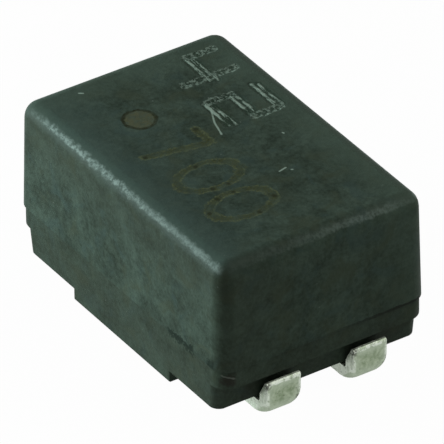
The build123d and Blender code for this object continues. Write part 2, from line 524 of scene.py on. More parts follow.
@dataclass(frozen=True)
class CapFinish:
    """The cap's finish: moulded plastic with the marks on its top and a darker rim at its mouth."""

    plastic: MouldedPlastic = MouldedPlastic()
    marks: TopMarks = TopMarks()
    scorch: Colour = (0.058, 0.064, 0.020)
    spot: Colour = (0.078, 0.083, 0.046)
    scorch_rim: Colour = (0.016, 0.020, 0.008)
    scorch_edge: Colour = (0.095, 0.112, 0.054)
    chipped: Colour = (0.29, 0.38, 0.33)
    groove: Colour = (0.010, 0.026, 0.014)

    def material(self, sizes: CapSizes) -> Material:
        """Builds the material.

        Args:
            sizes: The cap's outside.

        Returns:
            The material.
        """
        bench = CapBench(sizes)
        self.plastic.ground(bench)
        self.worn_and_highlit_edges(bench)
        self.painted_light_and_shade(bench)
        burned = self.burned_spot(bench).highest(self.burned_number(bench))
        marks = 0.8 * self.engraved(bench) - 0.3 * burned
        scratch = bench.nearest(self.marks.scratches()) + 0.03 * bench.wobble
        width = self.marks.scratch_width
        bench.paint(0.85 * scratch.rise(width, 0.3 * width) * bench.on_top, self.chipped)
        self.darkened_mouth(bench)
        return self.plastic.material(bench, 0.45 + 0.25 * bench.grit, marks)

    def worn_and_highlit_edges(self, bench: CapBench) -> None:
        """Lays the pale, grainy streaks along the rounded top edges: wear and painted highlight on the long ones, in a
        soft painted sheen, and painted highlight on the short ones.

        Args:
            bench: The cap's bench.
        """
        radius = bench.sizes.edge_radius
        ragged = bench.noise(4.0, 4.0, 0.7, offset=(2.0, 8.0, 4.0)) - 0.5
        lean = bench.z - (bench.sizes.top - radius)
        beyond_x, beyond_y = (
            abs(place) - (half - 0.05 - radius) for place, half in zip((bench.x, bench.y), bench.sizes.half)
        )
        high, short_of_corner = lean.rise(0.1, 0.2), beyond_x.rise(0.3, 0.1)
        over_long, over_short = beyond_y - lean, beyond_x - lean
        # painted sheen: a soft glow round the streak on the long edge
        halo = abs(over_long + 0.2 * ragged).rise(0.4, 0.05) * lean.rise(-0.1, 0.2) * beyond_y.rise(-0.2, 0.1)
        bench.paint(0.45 * halo * short_of_corner, self.plastic.painted_sheen)

        on_long = abs(over_long + 0.35 * ragged).rise(0.19, 0.03) * high * beyond_y.rise(0.05, 0.15) * short_of_corner
        on_short = (over_short + 0.5 * ragged).rise(-0.28, -0.06) * (over_short + 0.3 * ragged).rise(0.16, 0.06)
        on_short = on_short * high * beyond_x.rise(0.02, 0.1) * beyond_y.rise(0.3, 0.1)
        broken = bench.noise(9.0, 3.0, 0.75, offset=(1.0, 0.0, 6.0)).rise(0.38, 0.6)
        patchy = bench.noise(1.3, 3.0, 0.6, offset=(5.0, 0.0, 0.0)).rise(0.3, 0.6)
        wear_and_glint = (0.15 + 0.85 * broken) * (0.7 + 0.5 * patchy) * (0.25 + 0.75 * bench.x.rise(-4.2, -3.0))
        smooth, smoothed = bench.x.rise(-0.2, 1.8), 0.22 + 0.22 * patchy + 0.42 * broken
        # the long streak is wear and painted highlight; the short streak is painted highlight only
        long_streak = on_long * ((1 - smooth) * wear_and_glint + smooth * smoothed)
        short_streak = on_short * (0.3 + 0.7 * broken) * (0.06 + 0.14 * bench.y.rise(-1.0, 2.0))
        bench.paint(long_streak.highest(short_streak), self.plastic.worn_and_highlight)

    def painted_light_and_shade(self, bench: CapBench) -> None:
        """Paints broad light and shade on the walls and the top as colour: a cool painted sheen, painted light and
        painted shade.

        Args:
            bench: The cap's bench.
        """
        plastic, (half_length, half_width) = self.plastic, bench.sizes.half
        near_top = bench.z.rise(bench.sizes.top - 0.4, bench.sizes.top)
        # painted sheen: the top cooler and paler towards the near long side
        near_side = bench.y.rise(-0.8, -2.3) * near_top
        bench.paint(0.35 * near_side, plastic.cool)
        bench.paint(0.5 * near_side * bench.y.rise(-1.8, -2.8), plastic.painted_sheen)
        # painted light: the top paler towards the far long edge and the far end
        far_sides = (0.75 * bench.y.rise(1.4, 2.8)).highest(0.5 * bench.x.rise(-3.0, -4.1))
        bench.paint(far_sides * near_top, plastic.light)
        # painted shade: the long wall darker towards its top
        long_wall = bench.y.rise(-half_width + 0.5, -half_width + 0.2)
        bench.paint(0.3 * long_wall * bench.z.rise(2.9, 4.3), plastic.shaded)
        # painted shade towards the end wall's -Y side, painted light towards its +Y side
        end_wall = bench.x.rise(half_length - 0.5, half_length - 0.2)
        bench.paint(0.35 * end_wall * bench.y.rise(-0.2, -2.6), plastic.shaded)
        bench.paint(0.3 * end_wall * bench.y.rise(0.6, 2.6), plastic.light)

    def burned_spot(self, bench: CapBench) -> Channel:
        """Lays the round burned spot on the top.

        Args:
            bench: The cap's bench.

        Returns:
            1 on the spot.
        """
        radius = self.marks.spot_radius
        reach = bench.measure("DISTANCE", bench.flat, (*self.marks.spot_centre, 0.0)) + 0.14 * bench.wobble
        inside = reach.rise(radius, radius - 0.05) * bench.on_top
        rim = abs(reach - (radius - 0.025)).rise(0.07, 0.025) * bench.on_top
        mottle = bench.noise(8.0, 3.0, 0.65, offset=(1.0, 1.0, 5.0)).rise(0.36, 0.64)
        bench.paint((0.4 + 0.5 * mottle) * inside, self.spot)
        bench.paint(inside * bench.grit.rise(0.6, 0.7) * 0.6, self.scorch)
        bench.paint((0.6 + 0.4 * mottle) * rim, self.scorch_rim)
        return inside

    def burned_number(self, bench: CapBench) -> Channel:
        """Lays the burned number on the top, with a paler edge and darker places.

        Args:
            bench: The cap's bench.

        Returns:
            1 on the number.
        """
        half, grit = self.marks.burned_width / 2, bench.grit
        reach = bench.nearest(self.marks.burned()) + 0.22 * bench.wobble
        inside = reach.rise(half + 0.03, half - 0.06) * bench.on_top
        edge = abs(reach - half).rise(0.05, 0.01) * bench.on_top
        patchy = bench.noise(2.6, 4.0, 0.7, offset=(8.0, 3.0, 1.0))
        faded = patchy.rise(0.34, 0.6)
        bench.paint(inside * (0.16 + 0.5 * faded * grit.rise(0.3, 0.6)), self.scorch)
        bench.paint(edge * (0.1 + 0.8 * faded * grit.rise(0.4, 0.6)), self.scorch_edge)
        stood = (bench.nearest(self.marks.burned_ends()) + 0.1 * bench.wobble).rise(0.09, 0.02) * bench.on_top
        bench.paint((0.8 * stood).highest(inside * patchy.rise(0.62, 0.7) * 0.7), self.scorch_rim)
        return inside

    def engraved(self, bench: CapBench) -> Channel:
        """Cuts the engraved number: mottled grooves along Y, and pale double scores along X.

        Args:
            bench: The cap's bench.

        Returns:
            Its height, below 0 in the grooves and above 0 on their lips.
        """
        half = self.marks.engraved_width / 2
        ragged = bench.noise(10.0, 3.0, 0.75, offset=(5.0, 5.0, 0.0))
        combed = bench.noise(6.0, 3.0, 0.7, stretch=(0.35, 1.8, 1.0), offset=(0.0, 5.0, 2.0))
        across = bench.nearest(self.marks.engraved_across()) + 0.25 * bench.wobble
        along = bench.nearest(self.marks.engraved_along()) + 0.1 * bench.wobble + 0.09 * (ragged - 0.5)
        in_across = across.rise(half + 0.03, half - 0.05) * bench.on_top
        in_along = along.rise(0.13, 0.06) * bench.on_top
        lip = abs(across - (half - 0.02)).rise(0.06, 0.01) * bench.on_top
        scores = along.rise(0.065, 0.02) * bench.on_top
        bench.paint((0.6 * in_across * ragged.rise(0.54, 0.4)).highest(0.6 * in_along), self.groove)
        bright = (0.6 * lip * ragged.rise(0.42, 0.56)).highest(0.65 * in_across * ragged.rise(0.5, 0.6))
        bright = bright.highest(scores * combed.rise(0.43, 0.56))
        bench.paint(0.9 * bright, self.chipped)
        return bright - 1.5 * in_across.highest(in_along)

    def darkened_mouth(self, bench: CapBench) -> None:
        """Darkens the rim at the mouth: thinly at the ends, and strongly in two places on the long side.

        Args:
            bench: The cap's bench.
        """
        half_length, half_width = bench.sizes.half
        uneven = bench.noise(3.0, 3.0, 0.6, offset=(0.0, 4.0, 7.0))
        crumbs = bench.noise(8.0, 3.0, 0.7, offset=(4.0, 4.0, 1.0))
        above = bench.z - bench.sizes.mouth
        # a dark seam just below the mouth on the end
        end_seam = bench.x.rise(half_length - 0.4, half_length - 0.2) * (above - 0.12 * uneven).rise(0.02, -0.01)
        bench.paint(0.9 * end_seam * bench.y.rise(-1.2, 2.4), self.plastic.dark_seam_and_shade)
        # dark patches at the mouth in two places on the long side
        places = bench.x.band((2.1, 2.35), (3.45, 3.3)) + bench.x.band((3.92, 4.0), (4.3, 4.2))
        long_side = bench.y.rise(-half_width + 0.3, -half_width + 0.1)
        rough = above - 0.15 - 0.3 * (uneven - 0.5) - 0.7 * (crumbs - 0.5)
        bench.paint(places * long_side * rough.rise(0.03, -0.02) * above.rise(0.26, 0.18), self.plastic.dark_patch)


@dataclass(frozen=True)
class BaseFinish:
    """The base's finish: the same compound, with painted shade below the parting line, under the flange, beside the
    terminals and at a front corner, a painted highlight on a ledge there, and dark seams and patches at the parting
    line.
    """

    plastic: MouldedPlastic = MouldedPlastic()
    painted_shade: Colour = (0.019, 0.017, 0.013)
    ledge_highlight: Colour = (0.16, 0.18, 0.16)
    shade_spot: Colour = (4.5, -2.72, 1.48)
    ledge_middle: Point2 = (-2.78, 1.57)

    def material(self, half: Point2, parting: float, flange_bottom: float) -> Material:
        """Builds the material.

        Args:
            half: Half the flange's length and width.
            parting: The height of the parting line.
            flange_bottom: The height of the flange's underside.

        Returns:
            The material.
        """
        bench = Bench(Slot.BASE_PLASTIC.value)
        plastic = self.plastic
        plastic.ground(bench)
        grit = bench.noise(13.0, 2.0, 0.7, offset=(3.0, 6.0, 8.0))
        uneven = bench.noise(3.0, 3.0, 0.6, offset=(0.0, 4.0, 7.0))
        from_seam, from_ledge = bench.z - parting, bench.z - flange_bottom
        # painted shade: the base darker below the parting line
        bench.paint(0.35 * bench.z.rise(parting, parting - 0.05), plastic.shaded)

        ends = abs(bench.x).rise(half[0] - 0.5, half[0] - 0.3)
        # a dark seam at the parting line on the ends, and painted shade just under the flange there
        seam = (from_seam + 0.07 * uneven).rise(-0.01, 0.01) * ends * bench.y.rise(-1.2, 2.4)
        under = (from_ledge + 0.05 * uneven).rise(-0.06, 0.0) * from_ledge.rise(0.01, 0.0)
        bench.paint((0.75 * seam).highest(0.5 * under * ends), plastic.dark_seam_and_shade)
        # dark patches at the parting line on the long side, below the cap's
        place = bench.x.band((2.1, 2.4), (3.5, 3.3)) * bench.y.rise(-half[1] + 0.3, -half[1] + 0.1)
        bench.paint(0.85 * place * (from_seam + 0.1 + 0.6 * (grit - 0.5)).rise(-0.02, 0.02), plastic.dark_patch)

        # painted shade on the end face beside the terminals
        beside = (abs(abs(bench.y) - 1.5) - 0.35 - 0.35 * uneven).rise(0.25, 0.0) * bench.z.rise(1.45, 1.05)
        bench.paint(0.35 * ends * beside, self.painted_shade)
        # painted shade: a dark spot at the front corner of the flange
        reach = bench.measure("DISTANCE", bench.place, self.shade_spot)
        reach = reach + 0.5 * (uneven - 0.5) + 0.25 * (grit - 0.5)
        bench.paint(0.75 * reach.rise(0.28, 0.12), self.painted_shade)
        # painted highlight: a pale ledge line above that spot, drawn as a thin slanting line
        y, z = self.ledge_middle
        scratch = (abs(bench.z - z + 0.35 * (bench.y - y)) + 0.05 * (grit - 0.5)).rise(0.035, 0.01)
        scratch = scratch * bench.y.band((-2.94, -2.9), (-2.58, -2.66)) * bench.x.rise(4.2, 4.3)
        bench.paint(0.6 * scratch, self.ledge_highlight)
        return plastic.material(bench, 0.5 + 0.2 * grit)


@dataclass(frozen=True)
class TinnedStripFinish:
    """Matt tin over bronze strip: clouded, faintly green, with painted highlight along its borders, and bright and
    ragged where the strip was sheared, part bare metal and part painted highlight.
    """

    dull: Colour = (0.26, 0.34, 0.21)
    clean: Colour = (0.54, 0.63, 0.47)
    edge_highlight: Colour = (0.66, 0.75, 0.62)
    sheared_and_highlight: Colour = (0.92, 0.99, 0.89)
    dark_spot: Colour = (0.06, 0.065, 0.045)
    metallic: float = 0.85
    roughness: float = 0.42
    grain_depth: float = 0.012

    def material(self, tip_top: float) -> Material:
        """Builds the material.

        Args:
            tip_top: The height of the turned-up tips.

        Returns:
            The material.
        """
        bench = Bench(Slot.TINNED_STRIP.value)
        clouds = bench.noise(2.8, 4.0, 0.65, 0.8).rise(0.36, 0.64)
        fine = bench.noise(10.0, 3.0, 0.7, offset=(2.0, 2.0, 2.0))
        across = abs(bench.y) - HALF_PITCH
        from_middle = abs(across)
        side = from_middle.rise(0.47, 0.485)
        bench.colour = self.dull
        bench.paint(0.45 * clouds + 0.55 * fine.rise(0.32, 0.68), self.clean)
        # painted highlight: paler towards the strip's sides, low on the foot and high on the tip
        highlit = from_middle.rise(0.2, 0.47).highest(bench.z.rise(0.55, 0.25)).highest(bench.z.rise(0.7, 0.95))
        bench.paint(0.45 * highlit, self.edge_highlight)
        bench.paint(0.5 * bench.specks(0.12, 0.03, 0.3), self.dark_spot)

        # Sheared edges, part bright bare metal and part painted highlight: dashes round the tip, and fine upright
        # lines on its sides, whose pale colour is also a painted reflection
        dashes = bench.noise(7.0, 3.0, 0.7, offset=(0.0, 5.0, 0.0)).rise(0.4, 0.52)
        rim = from_middle.band((0.40, 0.46), (0.486, 0.478)) * bench.z.rise(0.2, 0.4)
        bench.paint(dashes * (0.8 * rim).highest(bench.z.rise(tip_top - 0.13, tip_top - 0.07)), self.sheared_and_highlight)
        striated = bench.noise(9.0, 2.0, 0.6, stretch=(1.0, 1.0, 0.25), offset=(0.0, 0.0, 3.0)).rise(0.3, 0.6)
        bench.paint(side * (0.2 + 0.45 * striated), self.sheared_and_highlight)

        # Dark spots: at the tip's upper corner on the -Y side, and along its lower edge on the +Y side
        leftwards = bench.y.rise(0.0, 0.01) * across - bench.y.rise(0.01, 0.0) * across
        dots = bench.noise(13.0, 3.0, 0.75, offset=(6.0, 1.0, 0.0))
        corner = leftwards.rise(-0.34, -0.44) * bench.z.rise(tip_top - 0.22, tip_top - 0.12)
        lower = leftwards.rise(0.28, 0.42) * bench.z.band((0.1, 0.2), (0.62, 0.45))
        darkened = (corner * dots.rise(0.42, 0.52)).highest(lower * dots.rise(0.5, 0.6))
        bench.paint(0.8 * darkened.highest(0.45 * side * dots.rise(0.54, 0.64)), self.dark_spot)
        normal = bench.relief(fine + 0.6 * clouds, self.grain_depth)
        return bench.finish(Metallic=self.metallic, Roughness=self.roughness + 0.2 * fine, Normal=normal)


@dataclass(frozen=True)
class HiddenFinish:
    """A plain finish of a piece inside the case, with clouds in its colour and a little grain."""

    slot: Slot
    dark: Colour
    light: Colour
    metallic: float = 0.0
    roughness: float = 0.5
    coat: float = 0.0
    cloud_scale: float = 2.0
    grain_scale: float = 14.0
    grain_depth: float = 0.006

    def material(self) -> Material:
        """Builds the material.

        Returns:
            The material.
        """
        bench = Bench(self.slot.value)
        clouds = bench.noise(self.cloud_scale, 4.0, 0.6, 0.4).rise(0.3, 0.7)
        grain = bench.noise(self.grain_scale, 3.0, 0.65, offset=(3.0, 1.0, 2.0))
        bench.colour = self.dark
        bench.paint(0.7 * clouds + 0.3 * grain, self.light)
        return bench.finish(
            Metallic=self.metallic,
            Roughness=self.roughness + 0.15 * grain,
            Coat_Weight=self.coat,
            Normal=bench.relief(grain, self.grain_depth),
        )


FERRITE = HiddenFinish(Slot.FERRITE, (0.022, 0.022, 0.024), (0.055, 0.055, 0.058), roughness=0.45, coat=0.3)
ENAMEL = HiddenFinish(
    Slot.ENAMELLED_WIRE,
    (0.36, 0.10, 0.03),
    (0.62, 0.24, 0.08),
    metallic=0.8,
    roughness=0.22,
    coat=0.8,
    cloud_scale=4.0,
    grain_scale=25.0,
    grain_depth=0.002,
)
ADHESIVE = HiddenFinish(Slot.ADHESIVE, (0.24, 0.20, 0.12), (0.42, 0.36, 0.25), roughness=0.25, cloud_scale=3.0)
SOLDER = HiddenFinish(Slot.SOLDER, (0.45, 0.46, 0.45), (0.72, 0.73, 0.72), metallic=1.0, roughness=0.22)


# Meshes


def kept(items: Iterable[object], kind: type) -> list:
    """The items of one kind, in order."""
    return [item for item in items if isinstance(item, kind)]


def edges_of(faces: Iterable[Face]) -> list[Edge]:
    """The edges of faces, each once, in order."""
    return list(dict.fromkeys(edge for face in faces for edge in face.edges))


def in_quarter(place: Vector, x: float, y: float, z: float) -> Vector:
    """A vector given for the quarter of +X and +Y, mirrored into the quarter that a place lies in."""
    return Vector((math.copysign(1.0, place.x) * x, math.copysign(1.0, place.y) * y, z))


def at_level(edge: Edge, height: float) -> bool:
    """Whether an edge lies at a height."""
    return all(abs(vert.co.z - height) < LEVEL for vert in edge.verts)


@dataclass
class Blank:
    """A mesh in the making, in millimetres, and the piece that it becomes."""

    name: str
    mesh: bmesh.types.BMesh = field(default_factory=bmesh.new)

    def bevel(
        self, geom: Sequence[object], radius: float, segments: int = 2, affect: str = "EDGES", clamp: bool = True
    ) -> None:
        """Rounds edges or corners.

        Args:
            geom: The edges or vertices.
            radius: The radius.
            segments: Steps round each.
            affect: EDGES or VERTICES.
            clamp: Whether the radius gives way where two roundings would meet.
        """
        bmesh.ops.bevel(
            self.mesh,
            geom=geom,
            offset=radius,
            offset_type="OFFSET",
            segments=segments,
            profile=0.5,
            affect=affect,
            clamp_overlap=clamp,
            material=-1,
        )

    def block(
        self, half: Point2, rim: float, crown: float, radius: float, draft: float = 0.0, steps: int = CORNER_STEPS
    ) -> list[Edge]:
        """Adds a rounded block that narrows from its rim to its crown, with no face at the rim.

        Args:
            half: Half its length and width at the rim.
            rim: The height of the rim, whose edges stay sharp.
            crown: The height of the crown, whose edges are rounded. It may be below the rim.
            radius: The radius of the corners and of the crown's edges.
            draft: The slope of the walls in degrees.
            steps: Steps round each rounded edge.

        Returns:
            The rim's edges.
        """
        inward = abs(crown - rim) * math.tan(math.radians(draft))
        made = bmesh.ops.create_cube(self.mesh, size=2.0)["verts"]
        for vert in made:
            shrink, height = (inward, crown) if vert.co.z > 0 else (0.0, rim)
            vert.co = in_quarter(vert.co, half[0] - shrink, half[1] - shrink, height)
        faces = list(dict.fromkeys(face for vert in made for face in vert.link_faces))
        if crown < rim:
            bmesh.ops.reverse_faces(self.mesh, faces=faces)
        rim_face = next(face for face in faces if all(at_level(edge, rim) for edge in face.edges))
        rim_edges = list(rim_face.edges)
        rounded = [edge for edge in edges_of(faces) if edge not in rim_edges]
        bmesh.ops.delete(self.mesh, geom=[rim_face], context="FACES_ONLY")
        before = set(self.mesh.edges) - {*rounded, *rim_edges}
        self.bevel(rounded, radius, steps, clamp=False)
        return [edge for edge in self.mesh.edges if edge not in before and edge.is_boundary and at_level(edge, rim)]

    def extrude(self, faces: Sequence[Face]) -> list[object]:
        """Extrudes faces as one, and gives what is made."""
        return bmesh.ops.extrude_face_region(self.mesh, geom=[*faces, *edges_of(faces)])["geom"]

    def raise_faces(self, faces: Sequence[Face], height: float, outward: Point2 = (0.0, 0.0)) -> list[Face]:
        """Extrudes faces and moves each quarter of them outwards.

        Args:
            faces: The faces to extrude.
            height: How far they rise.
            outward: How far each quarter moves away from the middle along X and Y.

        Returns:
            The extruded faces.
        """
        made = self.extrude(faces)
        for vert in kept(made, Vert):
            vert.co += in_quarter(vert.co, *outward, height)
        return kept(made, Face)

    def reshape_corners(self, faces: Sequence[Face], half: Point2, old: float, new: float) -> None:
        """Changes the radius of the rounded corners of faces that fill an outline.

        Args:
            faces: The faces.
            half: Half the outline's length and width.
            old: The corners' radius.
            new: Their new radius.
        """
        for vert in {vert for face in faces for vert in face.verts}:
            for axis in (0, 1):
                share = (abs(vert.co[axis]) - half[axis] + old) / old
                vert.co[axis] = math.copysign(half[axis] - new + new * share, vert.co[axis])

    def crisp_edges(self, angle: float) -> list[Edge]:
        """The edges where two faces meet at more than an angle in degrees."""
        limit = math.radians(angle)
        return [edge for edge in self.mesh.edges if len(edge.link_faces) == 2 and edge.calc_face_angle(0.0) > limit]

    def settle(self) -> None:
        """Turns the faces outwards."""
        bmesh.ops.recalc_face_normals(self.mesh, faces=self.mesh.faces)

    def show(self, material: Material) -> Object:
        """Turns the mesh into an object of the scene, in metres.

        Args:
            material: Its material.

        Returns:
            The object.
        """
        bmesh.ops.scale(self.mesh, vec=(MILLIMETRE,) * 3, verts=self.mesh.verts)
        data = bpy.data.meshes.new(self.name)
        self.mesh.to_mesh(data)
        self.mesh.free()
        data.materials.append(material)
        return link(self.name, data)

    def piece(self, material: Material, slot: Slot, *nodes: str) -> Object:
        """Makes the finished piece, riding on the part.

        Args:
            material: Its material.
            slot: The record's slot of its finish; not used.
            nodes: The solids that it stands for.

        Returns:
            The new object.
        """
        made = self.show(material)
        made.data.shade_smooth()
        made.data.set_sharp_from_angle(angle=math.radians(SHARP_ANGLE))
        flat = made.modifiers.new("flat_faces", "WEIGHTED_NORMAL")
        flat.mode, flat.weight, flat.keep_sharp = "FACE_AREA", 100, True
        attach(made, "root")
        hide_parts(*nodes)
        LOG.info("%s: %d faces", self.name, len(made.data.polygons))
        return made


def link(name: str, data: bpy.types.ID) -> Object:
    """Adds an object to the scene.

    Args:
        name: Its name.
        data: Its mesh, lamp or camera.

    Returns:
        The object.
    """
    made = bpy.data.objects.new(name, data)
    bpy.context.scene.collection.objects.link(made)
    return made


@dataclass
class Cap:
    """The moulded cap: a hollow box that narrows upwards, with rounded corners and top edges."""

    sizes: CapSizes = CapSizes()
    draft: float = 1.1
    wall: float = 0.45
    roof: float = 0.5
    bore_radius: float = 0.3
    glue_bevel: float = 0.15
    mouth_round: float = 0.01
    finish: CapFinish = CapFinish()

    def build(self) -> Object:
        """Builds and dresses the cap.

        Returns:
            The cap.
        """
        sizes, blank = self.sizes, Blank("moulded_cap")
        outer = blank.block(sizes.half, sizes.mouth, sizes.top, sizes.edge_radius, self.draft)
        bore_half = (sizes.half[0] - self.wall, sizes.half[1] - self.wall)
        bore_mouth, bore_top = sizes.mouth + self.glue_bevel, sizes.top - self.roof
        before = set(blank.mesh.faces)
        inner = blank.block(bore_half, bore_mouth, bore_top, self.bore_radius, self.draft)
        bmesh.ops.reverse_faces(blank.mesh, faces=[face for face in blank.mesh.faces if face not in before])
        made = bmesh.ops.extrude_edge_only(blank.mesh, edges=inner)["geom"]
        lip = [edge for edge in kept(made, Edge) if edge.is_boundary]
        for vert in kept(made, Vert):
            vert.co += in_quarter(vert.co, self.glue_bevel, self.glue_bevel, -self.glue_bevel)
        bmesh.ops.bridge_loops(blank.mesh, edges=outer + lip)
        blank.settle()
        rim = [edge for edge in blank.crisp_edges(60.0) if self.is_outer_rim(edge)]
        blank.bevel(rim, self.mouth_round)
        return blank.piece(self.finish.material(sizes), Slot.CAP_PLASTIC, "cap")

    def is_outer_rim(self, edge: Edge) -> bool:
        """Whether an edge runs along the outside of the mouth."""
        beyond = [max(abs(v.co.x) - self.sizes.half[0], abs(v.co.y) - self.sizes.half[1]) for v in edge.verts]
        return at_level(edge, self.sizes.mouth) and min(beyond) > -self.wall / 2


@dataclass
class Base:
    """The moulded base: drafted body, flange, spigot, middle foot and the well for the ring."""

    body_half: Point2 = (4.27, 3.02)
    flange_half: Point2 = (4.57, 3.02)
    spigot_half: Point2 = (4.1, 2.55)
    spigot_wall: float = 0.22
    body_radius: float = 0.28
    flange_radius: float = 0.46
    draft: float = 3.5
    section_bottom: float = 0.47
    flange_bottom: float = 1.21
    parting: float = 1.75
    spigot_top: float = 2.1
    block_top: float = 1.5
    floor_top: float = 1.1
    well_radius: float = 2.32
    foot_half: Point2 = (2.17, 2.965)
    foot_bottom: float = 0.12
    foot_round: float = 0.04
    edge_round: float = 0.012
    end_bevel: float = 0.06
    finish: BaseFinish = BaseFinish()

    def build(self) -> Object:
        """Builds and dresses the base.

        Returns:
            The base.
        """
        blank = Blank("moulded_base")
        inward = (self.flange_bottom - self.section_bottom) * math.tan(math.radians(self.draft))
        self.sink_well(blank, self.raise_body(blank, inward))
        blank.settle()
        end = self.body_half[0] - inward
        blank.bevel([edge for edge in blank.mesh.edges if self.is_end_edge(edge, end)], self.end_bevel, 1)
        outside = [edge for edge in blank.crisp_edges(40.0) if all(self.is_outside(v.co) for v in edge.verts)]
        blank.bevel(outside, self.edge_round)
        foot_top = self.section_bottom + self.foot_round
        rim = blank.block(self.foot_half, foot_top, self.foot_bottom, self.foot_round, steps=3)
        bmesh.ops.contextual_create(blank.mesh, geom=rim)
        blank.settle()
        material = self.finish.material(self.flange_half, self.parting, self.flange_bottom)
        return blank.piece(material, Slot.BASE_PLASTIC, "base")

    def raise_body(self, blank: Blank, inward: float) -> list[Edge]:
        """Builds the body, the flange and the spigot, open where the tray in the spigot begins.

        Args:
            blank: The blank.
            inward: How far the body's draft takes its lower end in.

        Returns:
            The edges round the tray.
        """
        corners = bmesh.ops.create_grid(blank.mesh, x_segments=1, y_segments=1, size=1.0)["verts"]
        lower_half = [half - inward for half in self.body_half]
        for vert in corners:
            vert.co = in_quarter(vert.co, *lower_half, self.section_bottom)
        blank.bevel(corners, self.body_radius, CORNER_STEPS, "VERTICES", clamp=False)
        faces = blank.raise_faces(list(blank.mesh.faces), self.flange_bottom - self.section_bottom, (inward, inward))
        faces = blank.raise_faces(faces, 0.0, (self.flange_half[0] - self.body_half[0], 0.0))
        blank.reshape_corners(faces, self.flange_half, self.body_radius, self.flange_radius)
        faces = blank.raise_faces(faces, self.parting - self.flange_bottom)
        step_in = (self.spigot_half[0] - self.flange_half[0], self.spigot_half[1] - self.flange_half[1])
        faces = blank.raise_faces(faces, 0.0, step_in)
        faces = blank.raise_faces(faces, self.spigot_top - self.parting)
        faces = blank.raise_faces(faces, 0.0, (-self.spigot_wall, -self.spigot_wall))
        faces = blank.raise_faces(faces, self.block_top - self.spigot_top)
        tray = edges_of(faces)
        bmesh.ops.delete(blank.mesh, geom=faces, context="FACES_ONLY")
        return tray

    def sink_well(self, blank: Blank, tray: list[Edge]) -> None:
        """Sinks the ring's round well into the tray's floor.

        Args:
            blank: The blank.
            tray: The edges round the tray.
        """
        mesh = blank.mesh
        ring = bmesh.ops.create_circle(mesh, segments=len(tray), radius=self.well_radius, cap_ends=False)["verts"]
        bmesh.ops.translate(mesh, verts=ring, vec=(0.0, 0.0, self.block_top))
        mouth = list(dict.fromkeys(edge for vert in ring for edge in vert.link_edges))
        made = bmesh.ops.extrude_edge_only(mesh, edges=mouth)["geom"]
        bottom = kept(made, Vert)
        bmesh.ops.translate(mesh, verts=bottom, vec=(0.0, 0.0, self.floor_top - self.block_top))
        floor = [edge for edge in kept(made, Edge) if at_level(edge, self.floor_top)]
        bmesh.ops.contextual_create(mesh, geom=floor)
        bmesh.ops.bridge_loops(mesh, edges=tray + mouth)

    def is_end_edge(self, edge: Edge, end: float) -> bool:
        """Whether an edge is the body's straight lower edge at one end."""
        return at_level(edge, self.section_bottom) and all(abs(abs(v.co.x) - end) < LEVEL for v in edge.verts)

    def is_outside(self, place: Vector) -> bool:
        """Whether a place is on the outside of the body or the flange."""
        beyond = max(abs(place.x) - self.spigot_half[0], abs(place.y) - self.spigot_half[1])
        return place.z < self.parting + LEVEL and beyond > self.spigot_wall / 2


